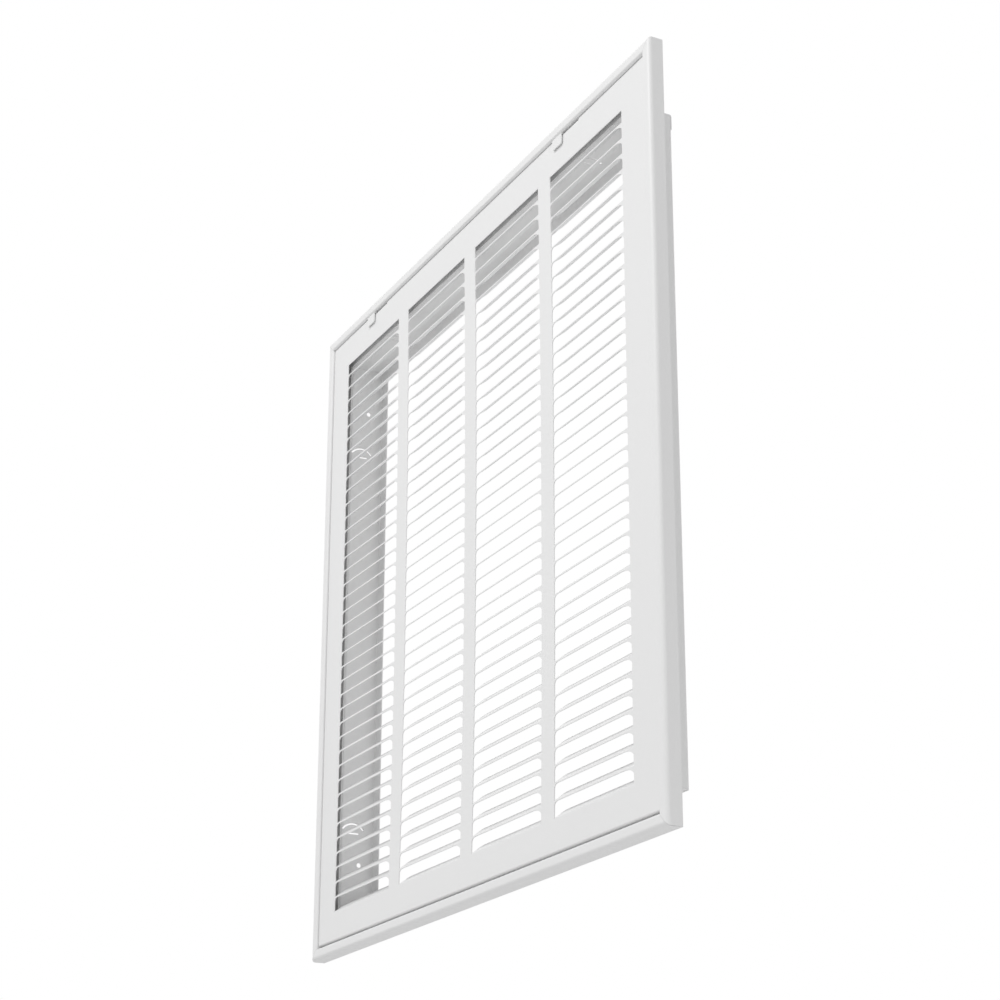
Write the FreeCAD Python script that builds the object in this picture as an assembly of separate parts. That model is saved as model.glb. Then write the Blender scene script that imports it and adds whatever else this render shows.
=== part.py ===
import FreeCAD, Part

import math
import os

from FreeCAD import Vector

# Return air filter grille for a nominal 20 x 20 inch wall opening. Millimetres.
# Origin: centre of the plane in which the frame meets the wall. +X is to the right seen
# from the room, +Y goes into the wall, +Z is up.

# Frame rails
overall_width = 575.0        # outer edge to outer edge
overall_height = 575.0
flange_depth = 12.0          # from the wall to the rim's face
rim_width = 9.5
frame_sheet = 0.8
fold_radius = 1.0            # inside radius of the rails' and the collar's folds
rim_fold_radius = 2.6        # inside radius of the rim's outer fold
mitre_gap = 0.2              # between two rails at a corner

# Filter collar
collar_inset = 35.0          # from the frame's outer edge to the collar's outer face
collar_reach = 28.0          # from the wall plane to the collar's rear
collar_sheet = 0.8
weld_flange = 12.0
rear_lip = 12.0
screw_hole_radius = 2.0
screw_hole_from_end = 44.0   # along the side walls, from their ends
screw_hole_behind_wall = 14.2
knockout_slit = 1.4          # width of the two slits that free a half-moon knockout
knockout_arc_radius = 11.5   # to the middle of the curved slit
knockout_arc_half_angle = 55.0
knockout_height = 8.3        # from the curved slit's top to the straight slit, middle to middle
knockout_straight = 11.0     # length of the straight slit
knockout_from_end = 79.3     # from the strip's end to the curved slit's top
knockout_behind_wall = 8.0

# Door
door_side_gap = 0.6          # between the door's edges and the frame's step
door_top_gap = 0.4
door_bottom_gap = 2.2
door_recess = 2.0            # from the rim's face to the door's face
door_sheet = 0.7
door_return = 5.1            # depth of the folded edges
door_fold_radius = 1.2       # outside radius of the folded edges
ledge_clearance = 1.1        # behind the folded edges

# Louvres
column_count = 4
mullion_width = 19.0
side_margin = 42.5           # from the frame's outer edge to the first column
bottom_margin = 36.0         # from the frame's outer edge to the lowest fold line
top_margin = 37.6            # from the frame's outer edge to the highest slot's upper edge
louvre_pitch = 12.6
louvre_web = 0.9             # flat strip left between two lances
louvre_angle = 38.0          # degrees above level, rising into the wall
shortest_louvre = 6.0        # the highest louvre takes the height that is left, from this up
corner_width = 7.0           # cut corner at the right end of a full louvre's free edge
corner_height = 3.5

# Hinge
hinge_behind_face = 2.2      # axis behind the door's face
hinge_above_edge = 2.3       # axis above the door's lower edge
pin_radius = 1.2
pin_running_gap = 0.05
pin_head_radius = 2.2
pin_head_length = 1.2
pin_past_return = 1.5

# Latches
latch_from_left = 106.5      # from the frame's outer edge to the middle of the left notch
latch_from_right = 124.2
notch_length = 38.4
notch_depth = 2.2
tab_width = 14.0
tab_below_edge = 9.4         # from the door's upper edge down to the tab's tip
tab_corner = 1.8
tab_gap = 0.6                # between the door's face and the tab, for a fingertip
slider_sheet = 1.0
slider_fold_radius = 0.5     # inside radius
slider_gap = 0.2             # between the slider and what it slides on
slider_top_gap = 0.3         # between the slider's bridge and the frame's step
plate_height = 22.0
plate_top_gap = 0.5          # below the door's upper fold
plate_margin = 5.0           # sheet left at each end of the guide slot
plate_before_tab = 14.4      # plate to the left of the tab
stud_radius = 2.0
stud_spacing = 20.0
stud_running_gap = 0.15
keeper_margin = 4.0          # strip across the studs' ends, from their axes to its edges
keeper_thickness = 1.2

# Places worked out from the sizes above
rim_y = -flange_depth
door_face_y = rim_y + door_recess
door_back_y = door_face_y + door_sheet
ledge_y = door_face_y + door_return + ledge_clearance
half_door_width = overall_width / 2 - rim_width - door_side_gap
door_top = overall_height / 2 - rim_width - door_top_gap
door_bottom = -overall_height / 2 + rim_width + door_bottom_gap
hinge_y = door_face_y + hinge_behind_face
hinge_z = door_bottom + hinge_above_edge
full_louvre = louvre_pitch - louvre_web
latch_centers = (latch_from_left - overall_width / 2, overall_width / 2 - latch_from_right)
latch_travel = notch_length - tab_width - 2 * slider_gap


def plane_normal(direction):
    # Direction turned by a quarter, in the YZ plane.
    return Vector(0, -direction.z, direction.y)


def offset_side(path, offset, radii):
    # One face of a folded sheet: straight runs beside the mid-line, joined by concentric arcs.
    edges = []
    runs = [(b - a).normalize() for a, b in zip(path, path[1:])]
    start = path[0] + plane_normal(runs[0]) * offset
    for corner, before, after, radius in zip(path[1:-1], runs, runs[1:], radii):
        turn = before.getAngle(after)
        side = 1 if plane_normal(before).dot(after) > 0 else -1
        back = radius * math.tan(turn / 2)
        fold_start = corner - before * back
        center = fold_start + plane_normal(before) * (side * radius)
        arc_start = fold_start + plane_normal(before) * offset
        arc_end = corner + after * back + plane_normal(after) * offset
        arc_middle = center + (corner - center).normalize() * (arc_start - center).Length
        edges.append(Part.LineSegment(start, arc_start).toShape())
        edges.append(Part.Arc(arc_start, arc_middle, arc_end).toShape())
        start = arc_end
    end = path[-1] + plane_normal(runs[-1]) * offset
    edges.append(Part.LineSegment(start, end).toShape())
    return edges, path[0] + plane_normal(runs[0]) * offset, end


def folded_strip(path, inside_radii, sheet, length):
    # A strip of sheet folded along the mid-line path (points in depth and height), as long as
    # length along X and centred on X = 0.
    points = [Vector(0, depth, height) for depth, height in path]
    radii = [radius + sheet / 2 for radius in inside_radii]
    near, near_start, near_end = offset_side(points, sheet / 2, radii)
    far, far_start, far_end = offset_side(points, -sheet / 2, radii)
    ends = [
        Part.LineSegment(near_end, far_end).toShape(),
        Part.LineSegment(far_start, near_start).toShape(),
    ]
    outline = Part.Wire(Part.__sortEdges__(near + far + ends))
    strip = Part.Face(outline).extrude(Vector(length, 0, 0))
    strip.translate(Vector(-length / 2, 0, 0))
    return strip


def box(x_range, y_range, z_range):
    size = [high - low for low, high in (x_range, y_range, z_range)]
    return Part.makeBox(*size, Vector(x_range[0], y_range[0], z_range[0]))


def prism(points, direction):
    return Part.Face(Part.makePolygon(points + points[:1])).extrude(direction)


def quarter_turned(shape, quarters):
    # 0 keeps a member at the top, 1 takes it to the right, 2 to the bottom, 3 to the left.
    turned = shape.copy()
    turned.rotate(Vector(0, 0, 0), Vector(0, 1, 0), 90 * quarters)
    return turned


def rail(length, reach):
    # Upper rail: outer return, rim, step and ledge in one fold, mitred at both ends.
    middle = frame_sheet / 2
    ledge_inner = collar_inset + collar_sheet
    path = [
        (0, reach - middle),
        (rim_y + middle, reach - middle),
        (rim_y + middle, reach - rim_width + middle),
        (ledge_y + middle, reach - rim_width + middle),
        (ledge_y + middle, reach - ledge_inner),
    ]
    strip = folded_strip(path, (rim_fold_radius, fold_radius, fold_radius), frame_sheet, length)
    outer_end = length / 2 - mitre_gap / math.sqrt(2)
    below = ledge_inner + frame_sheet
    corners = [
        Vector(-outer_end, rim_y - 1, reach),
        Vector(outer_end, rim_y - 1, reach),
        Vector(outer_end - below, rim_y - 1, reach - below),
        Vector(-outer_end + below, rim_y - 1, reach - below),
    ]
    return strip.common(prism(corners, Vector(0, flange_depth + 2, 0)))


def pin_hole(radius, side):
    # Cylinder along the hinge axis, through one side rail's step and the door's fold there.
    start = half_door_width - 2 * door_sheet
    length = overall_width / 2 - rim_width + 2 * frame_sheet - start
    return Part.makeCylinder(radius, length, Vector(side * start, hinge_y, hinge_z), Vector(side, 0, 0))


def ring_sector(radius, width, half_angle, thickness):
    # A curved slit about the origin: it opens to +X, lies in the XY plane and is cut along Z.
    inner = radius - width / 2
    outer = radius + width / 2
    edges = []
    ends = []
    for size in (inner, outer):
        first, middle, last = [
            Vector(size * math.cos(turn), size * math.sin(turn), 0)
            for turn in (-math.radians(half_angle), 0, math.radians(half_angle))
        ]
        edges.append(Part.Arc(first, middle, last).toShape())
        ends.append((first, last))
    for near, far in zip(*ends):
        edges.append(Part.LineSegment(near, far).toShape())
    return Part.Face(Part.Wire(Part.__sortEdges__(edges))).extrude(Vector(0, 0, thickness))


def knockout_slits(length, reach, end):
    # Curved and straight slit of one half-moon knockout in the upper collar wall. The curve
    # points along +X, and two webs hold the half-moon at its corners.
    arc_top = end * (length / 2 - knockout_from_end)
    low = reach - 2 * collar_sheet
    curved = ring_sector(knockout_arc_radius, knockout_slit, knockout_arc_half_angle, 3 * collar_sheet)
    curved.translate(Vector(arc_top - knockout_arc_radius, knockout_behind_wall, low))
    straight_x = arc_top - knockout_height
    straight = box(
        (straight_x - knockout_slit / 2, straight_x + knockout_slit / 2),
        (knockout_behind_wall - knockout_straight / 2, knockout_behind_wall + knockout_straight / 2),
        (low, low + 3 * collar_sheet),
    )
    return [curved, straight]


def collar_wall(length, reach, tucked_ends, holes):
    # Upper collar wall: weld flange behind the ledge, wall, and rear lip turned inwards. At a
    # tucked end it stops under its neighbour's wall and in front of its neighbour's lip.
    middle = collar_sheet / 2
    flange_y = ledge_y + frame_sheet + middle
    path = [
        (flange_y, reach + weld_flange),
        (flange_y, reach - middle),
        (collar_reach - middle, reach - middle),
        (collar_reach - middle, reach - rear_lip),
    ]
    wall = folded_strip(path, (fold_radius, fold_radius), collar_sheet, length)
    cuts = []
    for end in (-1, 1):
        cuts += knockout_slits(length, reach, end)
        if holes:
            hole_x = end * (length / 2 - screw_hole_from_end)
            base = Vector(hole_x, screw_hole_behind_wall, reach - 2 * collar_sheet)
            cuts.append(Part.makeCylinder(screw_hole_radius, 3 * collar_sheet, base))
    for end in tucked_ends:
        for inset, front in ((collar_sheet, -1), (rear_lip, collar_reach - collar_sheet)):
            cuts.append(box(
                sorted((end * (length / 2 - inset), end * (length / 2 + 1))),
                (front, collar_reach + 1),
                (reach - rear_lip - 1, reach + 1),
            ))
    return wall.cut(cuts)


def louvre_outline(width, height):
    # Outline of a louvre, flat. A full louvre has its right corner cut at the free edge, and
    # the highest one, which is cut short, is square.
    free_edge = [(width, height)]
    if height == full_louvre:
        free_edge = [(width, height - corner_height), (width - corner_width, height)]
    return [(0, 0), (width, 0), *free_edge, (0, height)]


def louvre_places():
    # Left edge, fold height and cut height of every louvre, with the width they share.
    width = (overall_width - 2 * side_margin - (column_count - 1) * mullion_width) / column_count
    stack = overall_height - bottom_margin - top_margin
    rows = int((stack - shortest_louvre) / louvre_pitch) + 1
    places = []
    for column in range(column_count):
        left = -overall_width / 2 + side_margin + column * (width + mullion_width)
        for row in range(rows):
            fold_z = -overall_height / 2 + bottom_margin + row * louvre_pitch
            places.append((left, fold_z, min(full_louvre, stack - row * louvre_pitch)))
    return width, places


def louvre_cut(left, fold_z, width, height):
    outline = louvre_outline(width, height)
    points = [Vector(left + x, door_face_y - 1, fold_z + z) for x, z in outline]
    return prism(points, Vector(0, door_sheet + 2, 0))


def louvre_blade(left, fold_z, width, height):
    # The cut-out sheet, swung back about its fold line. Its upper face starts at the front edge
    # of the strip below it, so that the sheet runs on from there. A shear cut takes no metal
    # away, so it is as wide as its slot.
    lean = math.radians(louvre_angle)
    along = Vector(0, math.cos(lean), math.sin(lean))
    through = Vector(0, math.sin(lean), -math.cos(lean)) * door_sheet
    outline = louvre_outline(width, height)
    points = [Vector(left + x, door_face_y, fold_z) + along * s for x, s in outline]
    return prism(points, through)


def door_tray():
    # Front sheet with returns on four sides, rounded along its folds.
    tray = box(
        (-half_door_width, half_door_width),
        (door_face_y, door_face_y + door_return),
        (door_bottom, door_top),
    )
    front = [e for e in tray.Edges if all(abs(v.Y - door_face_y) < 0.01 for v in e.Vertexes)]
    tray = tray.makeFillet(door_fold_radius, front)
    hollow = box(
        (-half_door_width + door_sheet, half_door_width - door_sheet),
        (door_back_y, door_face_y + door_return + 1),
        (door_bottom + door_sheet, door_top - door_sheet),
    )
    return tray.cut(hollow)


def latch_notch(center):
    return box(
        (center - notch_length / 2, center + notch_length / 2),
        (door_face_y - 1, door_face_y + door_return + 1),
        (door_top - notch_depth, door_top + 1),
    )


def door_panel():
    width, places = louvre_places()
    cuts = [louvre_cut(left, fold_z, width, height) for left, fold_z, height in places]
    cuts += [latch_notch(center) for center in latch_centers]
    cuts += [pin_hole(pin_radius + pin_running_gap, side) for side in (-1, 1)]
    panel = door_tray().cut(Part.makeCompound(cuts))
    blades = [louvre_blade(left, fold_z, width, height) for left, fold_z, height in places]
    return panel.fuse(blades)


def hinge_pin(side):
    # Shank through the rail and the door's fold, with its head inside the rail.
    step_back = overall_width / 2 - rim_width + frame_sheet
    shank_end = half_door_width - door_sheet - pin_past_return
    along = Vector(side, 0, 0)
    tip = Vector(side * shank_end, hinge_y, hinge_z)
    seat = Vector(side * step_back, hinge_y, hinge_z)
    shank = Part.makeCylinder(pin_radius, step_back - shank_end, tip, along)
    head = Part.makeCylinder(pin_head_radius, pin_head_length, seat, along)
    return shank.fuse(head).removeSplitter()


def slider_places(center):
    # Tab and plate of a closed slider and its studs, along X.
    tab_left = center - notch_length / 2 + slider_gap
    plate_left = tab_left - plate_before_tab
    slot_left = plate_left + plate_margin
    stud_reach = stud_radius + stud_running_gap + slider_gap
    first_stud = slot_left + latch_travel + stud_reach
    slot_right = first_stud + stud_spacing + stud_reach
    return tab_left, plate_left, slot_left, slot_right, first_stud


def guide_slot(slot_left, slot_right, slot_z):
    # Slot with round ends, cut through the slider's plate.
    radius = stud_radius + stud_running_gap
    ends = (slot_left + radius, slot_right - radius)
    y_start = door_back_y - 1
    depth = slider_sheet + 2
    slot = box(ends, (y_start, y_start + depth), (slot_z - radius, slot_z + radius))
    for x in ends:
        slot = slot.fuse(Part.makeCylinder(radius, depth, Vector(x, y_start, slot_z), Vector(0, 1, 0)))
    return slot


def plate_span():
    top = door_top - door_sheet - plate_top_gap
    return top - plate_height, top


def latch_slider(center):
    # Thumb tab in front, bridge through the door's notch, and plate that runs on the studs.
    tab_left, plate_left, slot_left, slot_right, first_stud = slider_places(center)
    middle = slider_sheet / 2
    tab_y = door_face_y - tab_gap - middle
    plate_y = door_back_y + slider_gap + middle
    bridge_z = overall_height / 2 - rim_width - slider_top_gap - middle
    tip_z = door_top - tab_below_edge
    plate_low, plate_high = plate_span()
    path = [(tab_y, tip_z), (tab_y, bridge_z), (plate_y, bridge_z), (plate_y, plate_low)]
    hook = folded_strip(path, (slider_fold_radius, slider_fold_radius), slider_sheet, tab_width)
    hook.translate(Vector(tab_left + tab_width / 2, 0, 0))
    tip = [
        e for e in hook.Edges
        if all(abs(v.Z - tip_z) < 0.01 for v in e.Vertexes) and abs(e.tangentAt(e.FirstParameter).y) > 0.9
    ]
    hook = hook.makeFillet(tab_corner, tip)
    plate = box(
        (plate_left, slot_right + plate_margin),
        (plate_y - middle, plate_y + middle),
        (plate_low, plate_high),
    )
    slot_z = (plate_low + plate_high) / 2
    return hook.fuse(plate).removeSplitter().cut(guide_slot(slot_left, slot_right, slot_z))


def latch_studs(center):
    # Two studs welded behind the door's face, and the keeper strip across their ends that
    # holds the slider's plate.
    first_stud = slider_places(center)[4]
    plate_low, plate_high = plate_span()
    stud_z = (plate_low + plate_high) / 2
    keeper_y = door_back_y + slider_sheet + 2 * slider_gap
    guide = box(
        (first_stud - keeper_margin, first_stud + stud_spacing + keeper_margin),
        (keeper_y, keeper_y + keeper_thickness),
        (stud_z - keeper_margin, stud_z + keeper_margin),
    )
    for x in (first_stud, first_stud + stud_spacing):
        foot = Vector(x, door_back_y, stud_z)
        stud = Part.makeCylinder(stud_radius, keeper_y - door_back_y, foot, Vector(0, 1, 0))
        guide = guide.fuse(stud)
    return guide.removeSplitter()


def frame_pieces():
    half_width = overall_width / 2
    half_height = overall_height / 2
    across = 2 * (half_width - collar_inset)
    upright = 2 * (half_height - collar_inset)
    collar_top = collar_wall(across, half_height - collar_inset, (), False)
    right = quarter_turned(collar_wall(upright, half_width - collar_inset, (-1,), True), 1)
    left = quarter_turned(collar_wall(upright, half_width - collar_inset, (1,), True), 3)
    bottom = quarter_turned(collar_wall(across, half_height - collar_inset, (-1, 1), False), 2)
    collar_right = right.cut(collar_top)
    collar_left = left.cut(collar_top)
    return {
        "rail_top": rail(overall_width, half_height),
        "rail_right": quarter_turned(rail(overall_height, half_width), 1).cut(pin_hole(pin_radius, 1)),
        "rail_bottom": quarter_turned(rail(overall_width, half_height), 2),
        "rail_left": quarter_turned(rail(overall_height, half_width), 3).cut(pin_hole(pin_radius, -1)),
        "collar_top": collar_top,
        "collar_right": collar_right,
        "collar_bottom": bottom.cut([collar_right, collar_left]),
        "collar_left": collar_left,
        "hinge_pin_left": hinge_pin(-1),
        "hinge_pin_right": hinge_pin(1),
    }


def door_pieces():
    pieces = {"door_panel": door_panel()}
    for side, center in zip(("left", "right"), latch_centers):
        pieces["latch_studs_" + side] = latch_studs(center)
        pieces["latch_slider_" + side] = latch_slider(center)
    return pieces


os.makedirs("parts", exist_ok=True)
for node, shape in {**frame_pieces(), **door_pieces()}.items():
    shape.exportStep("parts/" + node + ".step")
    print(node, "solids", len(shape.Solids), "valid", shape.isValid(), "volume", round(shape.Volume, 1))
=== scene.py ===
import math

import bmesh
import bpy
import numpy as np
from mathutils import Matrix, Vector


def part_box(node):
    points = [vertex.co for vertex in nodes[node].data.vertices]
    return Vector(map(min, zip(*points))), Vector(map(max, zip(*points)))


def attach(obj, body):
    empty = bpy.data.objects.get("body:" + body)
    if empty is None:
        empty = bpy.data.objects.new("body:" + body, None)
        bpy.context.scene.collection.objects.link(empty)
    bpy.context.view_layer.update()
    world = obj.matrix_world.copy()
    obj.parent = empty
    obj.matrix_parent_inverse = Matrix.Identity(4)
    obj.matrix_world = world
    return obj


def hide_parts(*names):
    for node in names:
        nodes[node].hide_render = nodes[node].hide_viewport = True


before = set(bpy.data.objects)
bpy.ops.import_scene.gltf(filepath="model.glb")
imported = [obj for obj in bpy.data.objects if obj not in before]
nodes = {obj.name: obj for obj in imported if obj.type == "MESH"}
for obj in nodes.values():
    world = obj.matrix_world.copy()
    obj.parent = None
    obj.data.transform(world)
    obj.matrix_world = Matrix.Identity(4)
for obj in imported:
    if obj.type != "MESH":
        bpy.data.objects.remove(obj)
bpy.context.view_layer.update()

seamDistance = 1e-6              # points closer together than this are sewn into one


class Skin:
    # Collects grids of points, makes a quad of each cell and sews the seams.
    def __init__(self):
        self.points = []
        self.quads = []
        self.smooth = []
        self.count = 0

    def add(self, grids, smooth=False):
        # grids has the shape (grids, rows, columns, 3); each quad joins four neighbours.
        # smooth is one value, or one for each step from a column to the next.
        amount, rows, columns = grids.shape[:3]
        index = np.arange(amount * rows * columns).reshape(amount, rows, columns) + self.count
        corners = (index[:, :-1, :-1], index[:, 1:, :-1], index[:, 1:, 1:], index[:, :-1, 1:])
        self.points.append(grids.reshape(-1, 3))
        self.quads.append(np.stack(corners, axis=-1).reshape(-1, 4))
        self.smooth.append(np.broadcast_to(smooth, index[:, 1:, 1:].shape).ravel())
        self.count += index.size

    def makeMesh(self, name, points):
        mesh = bpy.data.meshes.new(name)
        mesh.from_pydata(points.tolist(), [], np.concatenate(self.quads).tolist())
        mesh.polygons.foreach_set("use_smooth", np.concatenate(self.smooth))
        sewn = bmesh.new()
        sewn.from_mesh(mesh)
        bmesh.ops.remove_doubles(sewn, verts=sewn.verts, dist=seamDistance)
        bmesh.ops.recalc_face_normals(sewn, faces=sewn.faces)
        sewn.to_mesh(mesh)
        sewn.free()
        return mesh


def stacked(x, y, z):
    # Points from three arrays, spread to their common shape.
    return np.stack(np.broadcast_arrays(x, y, z), axis=-1)


door = {
    "rows": 40,
    "columns": 4,
    "sideMargin": 0.0425,        # from the frame's outer edge to the first slot
    "bottomMargin": 0.036,       # from the frame's outer edge to the lowest fold
    "mullion": 0.019,
    "pitch": 0.0126,
    "web": 0.0009,               # strip left between two slots
    "topSlot": 0.010,            # height of the highest slot, whose corners are square
    "lean": 38.0,                # degrees above level
    "sheet": 0.0007,
    "bend": 0.00045,             # half of the rounded stretch at a louvre's root
    "endGap": 0.00012,           # between a louvre's end and the edge it was sheared from
    "cornerWidth": 0.012,        # right end of a slot's upper edge, where it curves down
    "cornerDrop": 0.0043,
    "startWidth": 0.004,         # and its left end, which is rounded more tightly
    "startDrop": 0.0026,
    "dish": 0.0022,              # how far the louvred field is pressed in at its middle
    "border": 0.012,             # flat border and folded edge, carried round the door
    "foldRadius": 0.0012,        # outside of the folded edge
    "foldSteps": 5,
    "returnDepth": 0.0051,
    "notchDepth": 0.0022,
    "notchLength": 0.0384,
    "notchFromLeft": 0.1065,     # from the frame's outer edge to the notch's middle
    "notchFromRight": 0.1242,
}
doorLow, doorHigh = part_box("door_panel")
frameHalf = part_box("rail_right")[1].x
fieldX = doorHigh.x - door["border"]
fieldLow = doorLow.z + door["border"]
fieldTop = doorHigh.z - door["border"]
notches = [
    (middle - door["notchLength"] / 2, middle + door["notchLength"] / 2)
    for middle in (door["notchFromLeft"] - frameHalf, frameHalf - door["notchFromRight"])
]


def slotStations(left, width):
    # Places along a slot, closer together where its upper edge curves down, as shares of each
    # end's width. The ends of a latch notch above it are places too, so that the border has
    # the same points.
    start = door["startWidth"] * np.array([0, 0.3, 1])
    curve = width - door["cornerWidth"] * np.array([1, 0.6, 0.3, 0.1, 0])
    notchEnds = [end - left for notch in notches for end in notch if 0 < end - left < width]
    return np.unique(np.concatenate([start, curve, notchEnds]))


def louvreColumn(skin, left, width):
    # Every louvre is one section of bent sheet, carried along its slot: up the strip below
    # the slot, round the bend, out along the louvre and back underneath. The height of the
    # strip and the length of the louvre follow the slot's upper edge, which drops near the
    # right end by four fifths of t squared and one fifth of t to the tenth, for t from 0 to 1,
    # and near the left end as a quarter ellipse: one minus the root of one minus s squared.
    # The bend's middle point is a quarter of each of its ends and half of the fold, and inner
    # is where the louvre's underside meets the back of the strip.
    x = slotStations(left, width)
    t = np.clip((x - width) / door["cornerWidth"] + 1, 0, 1)
    s = np.clip(1 - x / door["startWidth"], 0, 1)
    drop = door["cornerDrop"] * (0.8 * t**2 + 0.2 * t**10)
    drop += door["startDrop"] * (1 - np.sqrt(1 - s**2))
    fold = -frameHalf + door["bottomMargin"] + door["pitch"] * np.arange(door["rows"])[:, None]
    upper = fold + door["pitch"] - door["web"] - drop
    upper[-1] = fold[-1] + door["topSlot"]
    lower = np.vstack([np.full_like(x, fieldLow), upper[:-1]])
    reach = upper - fold
    lean = math.radians(door["lean"])
    cosine, sine = math.cos(lean), math.sin(lean)
    sheet, bend = door["sheet"], door["bend"]
    inner = sheet * ((1 - sine) * sine / cosine - cosine)
    section = [
        (0, lower),
        (0, fold - bend),
        (bend * cosine / 4, fold + bend * (sine - 1) / 4),
        (bend * cosine, fold + bend * sine),
        (reach * cosine, fold + reach * sine),
        (reach * cosine + sheet * sine, fold + reach * sine - sheet * cosine),
        (sheet, fold + inner),
        (sheet, lower),
    ]
    points = np.stack([stacked(left + x, y, z) for y, z in section], axis=2)
    # The gap at a louvre's ends opens over its bend, and only the bend is shaded smooth.
    ease = door["endGap"] * np.array([0, 0, 0.5, 1, 1, 1, 0, 0])
    points[:, 0, :, 0] += ease
    points[:, -1, :, 0] -= ease
    rounded = np.array([0, 1, 1, 0, 0, 0, 0, 0], bool)
    # The lowest section stays open where it meets the border. The others close at a slot.
    skin.add(points[:1], rounded[:-1])
    skin.add(points[1:][:, :, [0, 1, 2, 3, 4, 5, 6, 7, 0]], rounded)
    top = [(0, fieldTop), (0, upper[-1]), (sheet, upper[-1]), (sheet, fieldTop)]
    skin.add(np.stack([stacked(left + x, y, z) for y, z in top], axis=1)[None])
    # Each end of a louvre is capped, and so is the cut beside it in the sheet. A ladder holds
    # the heights of all points on that upright edge, for the flat strip beside the column.
    sides = []
    for end in (0, -1):
        for corners in ([[1, 2], [6, 3]], [[3, 4], [6, 5]]):
            skin.add(points[:, end][:, corners])
        place = left + x[end]
        cut = [
            np.stack([stacked(place, y, foot[:, 0]), stacked(place, y, upper[:, end])], axis=1)
            for y, foot in ((0, fold - bend), (sheet, fold + inner))
        ]
        skin.add(np.stack(cut, axis=1))
        ladders = []
        for step in (fold - bend, fold + inner):
            rungs = np.stack([lower[:, end], step[:, 0]], axis=1).ravel()
            ladders.append(np.append(rungs, [upper[-1, end], fieldTop]))
        sides.append((place, *ladders))
    return x + left, sides


def flatStrip(skin, first, second):
    # Front and back of the sheet between two upright edges, rung by rung.
    for y, rungs in ((0, 1), (door["sheet"], 2)):
        edges = [stacked(edge[0], y, edge[rungs]) for edge in (first, second)]
        skin.add(np.stack(edges, axis=1)[None])


def borderProfile():
    # Distance outwards and depth, on the sheet's outer and inner face: flat, a quarter turn
    # and the return. Both faces have the same steps, so that the cut ends at a notch close.
    turn = np.linspace(0, math.pi / 2, door["foldSteps"])
    radius, sheet, border = door["foldRadius"], door["sheet"], door["border"]
    faces = []
    for inset in (0, sheet):
        bow = radius - inset
        out = np.concatenate([
            [0, border - door["notchDepth"]],
            border - radius + bow * np.sin(turn),
            [border - inset],
        ])
        depth = np.concatenate([[inset, inset], radius - bow * np.cos(turn), [door["returnDepth"]]])
        faces.append(np.stack([out, depth], axis=1))
    return faces


def foldedBorder(skin, slotsX, rungs):
    # The profile carried round the field, mitred at the corners. At a latch notch only its
    # flat part is there.
    corner = [(sx * fieldX, z, sx, sz) for sx, z, sz in (
        (1, fieldLow, -1), (1, fieldTop, 1), (-1, fieldTop, 1), (-1, fieldLow, -1),
    )]
    side = rungs[1:-1]
    path = np.vstack([
        np.stack(np.broadcast_arrays(slotsX, fieldLow, 0.0, -1.0), axis=1),
        [corner[0]],
        np.stack(np.broadcast_arrays(fieldX, side, 1.0, 0.0), axis=1),
        [corner[1]],
        np.stack(np.broadcast_arrays(slotsX[::-1], fieldTop, 0.0, 1.0), axis=1),
        [corner[2]],
        np.stack(np.broadcast_arrays(-fieldX, side[::-1], -1.0, 0.0), axis=1),
        [corner[3]],
    ])
    path = np.vstack([path, path[:1]])
    outer, inner = borderProfile()

    def carried(profile):
        out, depth = profile[:, 0], profile[:, 1]
        return stacked(path[:, :1] + path[:, 2:3] * out, depth, path[:, 1:2] + path[:, 3:4] * out)

    middle = (path[1:, 0] + path[:-1, 0]) / 2
    atTop = (path[1:, 1] == fieldTop) & (path[:-1, 1] == fieldTop)
    notched = atTop & np.any([(middle > start) & (middle < end) for start, end in notches], axis=0)
    whole = carried(np.vstack([outer, inner[::-1]]))
    pairs = np.stack([whole[:-1], whole[1:]], axis=1)
    # Only the quarter turn is shaded smooth. It starts after the two points of the flat part,
    # and the inner face has the same steps in reverse.
    rounded = np.zeros(pairs.shape[2] - 1, bool)
    rounded[2:2 + door["foldSteps"] - 1] = True
    rounded |= rounded[::-1]
    skin.add(pairs[~notched], rounded)
    short = carried(np.vstack([outer[:2], inner[1::-1]]))
    skin.add(np.stack([short[:-1], short[1:]], axis=1)[notched])
    ends = np.flatnonzero(notched[1:] != notched[:-1]) + 1
    caps = np.stack([carried(outer[1:])[ends], carried(inner[1:])[ends]], axis=1)
    skin.add(caps)


def louvredDoor():
    skin = Skin()
    columns = door["columns"]
    span = 2 * (frameHalf - door["sideMargin"])
    width = (span - (columns - 1) * door["mullion"]) / columns
    slotsX = []
    sides = []
    for column in range(columns):
        left = -frameHalf + door["sideMargin"] + column * (width + door["mullion"])
        stations, ends = louvreColumn(skin, left, width)
        slotsX.append(stations)
        sides += ends
    rungs = sides[0][1]
    sides = [(-fieldX, rungs, rungs), *sides, (fieldX, rungs, rungs)]
    for first, second in zip(sides[::2], sides[1::2]):
        flatStrip(skin, first, second)
    foldedBorder(skin, np.concatenate(slotsX), rungs)
    points = np.concatenate(skin.points)
    # The field is dished: its depth grows by one minus x squared times one minus z squared,
    # with both counted from the middle to the border.
    across = points[:, 0] / fieldX
    upright = (2 * points[:, 2] - fieldTop - fieldLow) / (fieldTop - fieldLow)
    points[:, 1] += door["dish"] * np.clip(1 - across**2, 0, 1) * np.clip(1 - upright**2, 0, 1)
    points[:, 1] += doorLow.y
    return skin.makeMesh("louvredDoor", points)


print("louvred door")
doorPiece = bpy.data.objects.new("louvredDoor", louvredDoor())
bpy.context.scene.collection.objects.link(doorPiece)
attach(doorPiece, "door")
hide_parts("door_panel")


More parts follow.
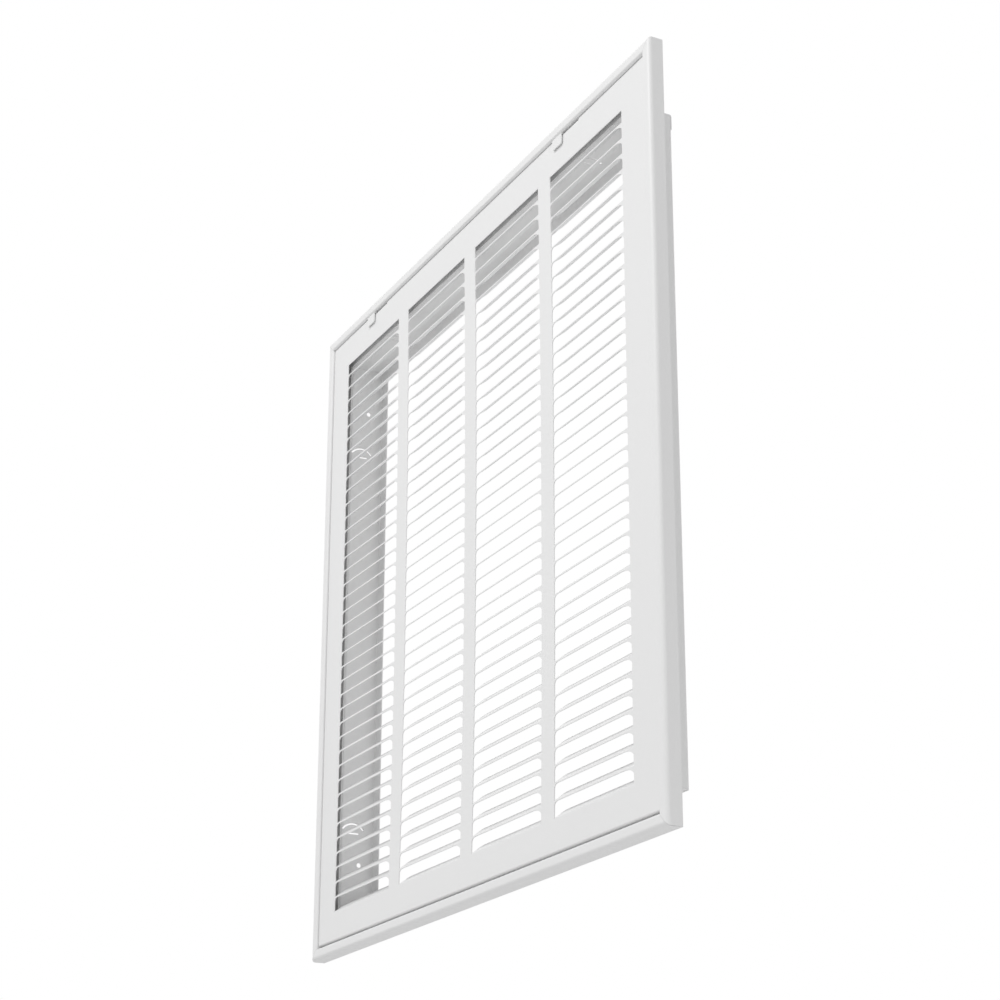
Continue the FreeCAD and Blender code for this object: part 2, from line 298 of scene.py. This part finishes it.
class Field:
    # A value in a material's node tree that can be used in sums like a number.
    def __init__(self, tree, socket):
        self.tree = tree
        self.socket = socket

    def node(self, kind, settings, inputs, output=0):
        # Any other node: its settings first, then the values or links of its sockets.
        made = self.tree.nodes.new(kind)
        for name, value in settings.items():
            setattr(made, name, value)
        for name, value in inputs.items():
            if isinstance(value, Field):
                self.tree.links.new(value.socket, made.inputs[name])
            else:
                made.inputs[name].default_value = value
        return Field(self.tree, made.outputs[output])

    def feed(self, shader, name):
        # Links the value to a shader or an output that is already in the tree.
        self.tree.links.new(self.socket, shader.inputs[name])

    def math(self, operation, first, second):
        return self.node("ShaderNodeMath", {"operation": operation}, {0: first, 1: second})

    def __add__(self, other):
        return self.math("ADD", self, other)

    def __radd__(self, other):
        return self.math("ADD", other, self)

    def __sub__(self, other):
        return self.math("SUBTRACT", self, other)

    def __rsub__(self, other):
        return self.math("SUBTRACT", other, self)

    def __mul__(self, other):
        return self.math("MULTIPLY", self, other)

    def __rmul__(self, other):
        return self.math("MULTIPLY", other, self)


def newMaterial(name):
    material = bpy.data.materials.new(name)
    material.use_nodes = True
    tree = material.node_tree
    place = Field(tree, None).node("ShaderNodeTexCoord", {}, {}, "Object")
    return material, tree.nodes["Principled BSDF"], place


powder = {
    "white": 0.86,
    # The collar's coat is whiter than the frame's. This is painted light: it makes the collar's
    # shaded inner walls come out lighter.
    "collarWhiteWithPaintedLight": 0.88,
    "roughness": 0.38,
    "cloudSize": 9.0,            # broad change of gloss, per metre
    "cloudDetail": 2.0,
    "cloudDepth": 0.08,
    "peelSize": 420.0,           # orange peel, per metre
    "peelDetail": 1.0,
    "peelStrength": 0.25,
    "peelDepth": 0.00002,
}


def powderCoat(name, white):
    # White powder coat: nearly smooth, with a fine orange peel. Its roughness is the even
    # value plus a share of broad noise, which lies around one half.
    material, shader, place = newMaterial(name)
    cloudInputs = {
        "Vector": place,
        "Scale": powder["cloudSize"],
        "Detail": powder["cloudDetail"],
    }
    cloud = place.node("ShaderNodeTexNoise", {}, cloudInputs)
    peelInputs = {
        "Vector": place,
        "Scale": powder["peelSize"],
        "Detail": powder["peelDetail"],
    }
    peel = place.node("ShaderNodeTexNoise", {}, peelInputs)
    bumpInputs = {
        "Height": peel,
        "Strength": powder["peelStrength"],
        "Distance": powder["peelDepth"],
    }
    bump = peel.node("ShaderNodeBump", {}, bumpInputs)
    roughness = powder["roughness"] + (cloud - 0.5) * powder["cloudDepth"]
    roughness.feed(shader, "Roughness")
    bump.feed(shader, "Normal")
    shader.inputs["Base Color"].default_value = (white, white, white, 1)
    return material


steel = {
    "color": (0.62, 0.62, 0.63, 1),
    "roughness": 0.3,
    "grainSize": 600.0,          # fine grain of the plating, per metre
    "grainDetail": 2.0,
    "grainDepth": 0.15,
}


def platedSteel(name):
    # Zinc plate: its roughness is the smooth value plus a share of fine noise.
    material, shader, place = newMaterial(name)
    grainInputs = {
        "Vector": place,
        "Scale": steel["grainSize"],
        "Detail": steel["grainDetail"],
    }
    grain = place.node("ShaderNodeTexNoise", {}, grainInputs)
    (steel["roughness"] + grain * steel["grainDepth"]).feed(shader, "Roughness")
    shader.inputs["Base Color"].default_value = steel["color"]
    shader.inputs["Metallic"].default_value = 1.0
    return material


def paint(piece, material):
    piece.data.materials.clear()
    piece.data.materials.append(material)


print("materials")
framePaint = powderCoat("framePaint", powder["white"])
# The collar's whiter coat is painted light for its shaded inner walls.
collarPaintWithPaintedLight = powderCoat("collarPaintWithPaintedLight", powder["collarWhiteWithPaintedLight"])
doorPaint = powderCoat("doorPaint", powder["white"])
pinSteel = platedSteel("pinSteel")
paint(doorPiece, doorPaint)
for name, piece in nodes.items():
    if name.startswith("rail"):
        paint(piece, framePaint)
    elif name.startswith("collar"):
        paint(piece, collarPaintWithPaintedLight)
    elif name.startswith("hinge"):
        paint(piece, pinSteel)
    else:
        paint(piece, doorPaint)

studio = {
    "skyStrength": 0.53,
    "keyPlace": (0.5, -1.9, 2.2),
    "keySize": 1.6,
    "keyPower": 43.0,
    "sidePlace": (2.2, 0.9, -0.9),
    "sideSize": 1.2,
    "sidePower": 6.0,
    "floorHeight": -0.95,
    "floorSpan": 30.0,           # from the middle to each edge
    "floorWhite": 0.9,
}

# A wide white floor below the grille throws light back up on it.
print("floor and light")
floorPaint = bpy.data.materials.new("floorPaint")
floorPaint.use_nodes = True
floorColor = (studio["floorWhite"],) * 3 + (1,)
floorPaint.node_tree.nodes["Principled BSDF"].inputs["Base Color"].default_value = floorColor
floorMesh = bpy.data.meshes.new("floor")
span, level = studio["floorSpan"], studio["floorHeight"]
floorMesh.from_pydata(
    [(-span, -span, level), (span, -span, level), (span, span, level), (-span, span, level)],
    [],
    [(0, 1, 2, 3)],
)
floorMesh.materials.append(floorPaint)
floor = bpy.data.objects.new("floor", floorMesh)
bpy.context.scene.collection.objects.link(floor)

world = bpy.data.worlds.new("studio")
world.use_nodes = True
bpy.context.scene.world = world
tree = world.node_tree
tree.nodes.remove(tree.nodes["Background"])
start = Field(tree, None)
white = (1, 1, 1, 1)
sky = start.node("ShaderNodeBackground", {}, {"Color": white, "Strength": studio["skyStrength"]})
plain = start.node("ShaderNodeBackground", {}, {"Color": white, "Strength": 1.0})
seen, mirrored, through = [
    start.node("ShaderNodeLightPath", {}, {}, ray)
    for ray in ("Is Camera Ray", "Is Glossy Ray", "Is Transmission Ray")
]
# The sky is plain white wherever it is seen or mirrored, and dimmer where it lights.
backdrop = start.node("ShaderNodeMixShader", {}, {"Fac": seen + mirrored + through, 1: sky, 2: plain})
backdrop.feed(tree.nodes["World Output"], "Surface")


def areaLamp(name, place, size, power):
    # A square lamp that shines at the middle of the grille.
    lamp = bpy.data.lights.new(name, "AREA")
    lamp.shape = "SQUARE"
    lamp.size = size
    lamp.energy = power
    holder = bpy.data.objects.new(name, lamp)
    bpy.context.scene.collection.objects.link(holder)
    holder.location = place
    holder.rotation_euler = (-Vector(place)).to_track_quat("-Z", "Y").to_euler()


areaLamp("keyLamp", studio["keyPlace"], studio["keySize"], studio["keyPower"])
areaLamp("sideLamp", studio["sidePlace"], studio["sideSize"], studio["sidePower"])

# The picture is taken from the front right and from below.
photo = {
    "cameraPlace": (1.4451, -0.7299, -0.6043),
    "cameraForward": (-0.8392, 0.4347, 0.3269),
    "cameraUp": (0.2897, -0.1515, 0.9451),
    "lens": 79.53,               # millimetres, for the sensor below
    "sensorWidth": 36.0,
    "shiftUp": 0.0945,
}

print("camera")
lens = bpy.data.cameras.new("camera")
lens.lens = photo["lens"]
lens.sensor_width = photo["sensorWidth"]
lens.shift_y = photo["shiftUp"]
camera = bpy.data.objects.new("camera", lens)
bpy.context.scene.collection.objects.link(camera)
forward = Vector(photo["cameraForward"]).normalized()
right = forward.cross(Vector(photo["cameraUp"])).normalized()
turn = Matrix((right, right.cross(forward), -forward)).transposed().to_4x4()
camera.matrix_world = Matrix.Translation(photo["cameraPlace"]) @ turn
bpy.context.scene.camera = camera
bpy.context.scene.view_settings.view_transform = "Standard"
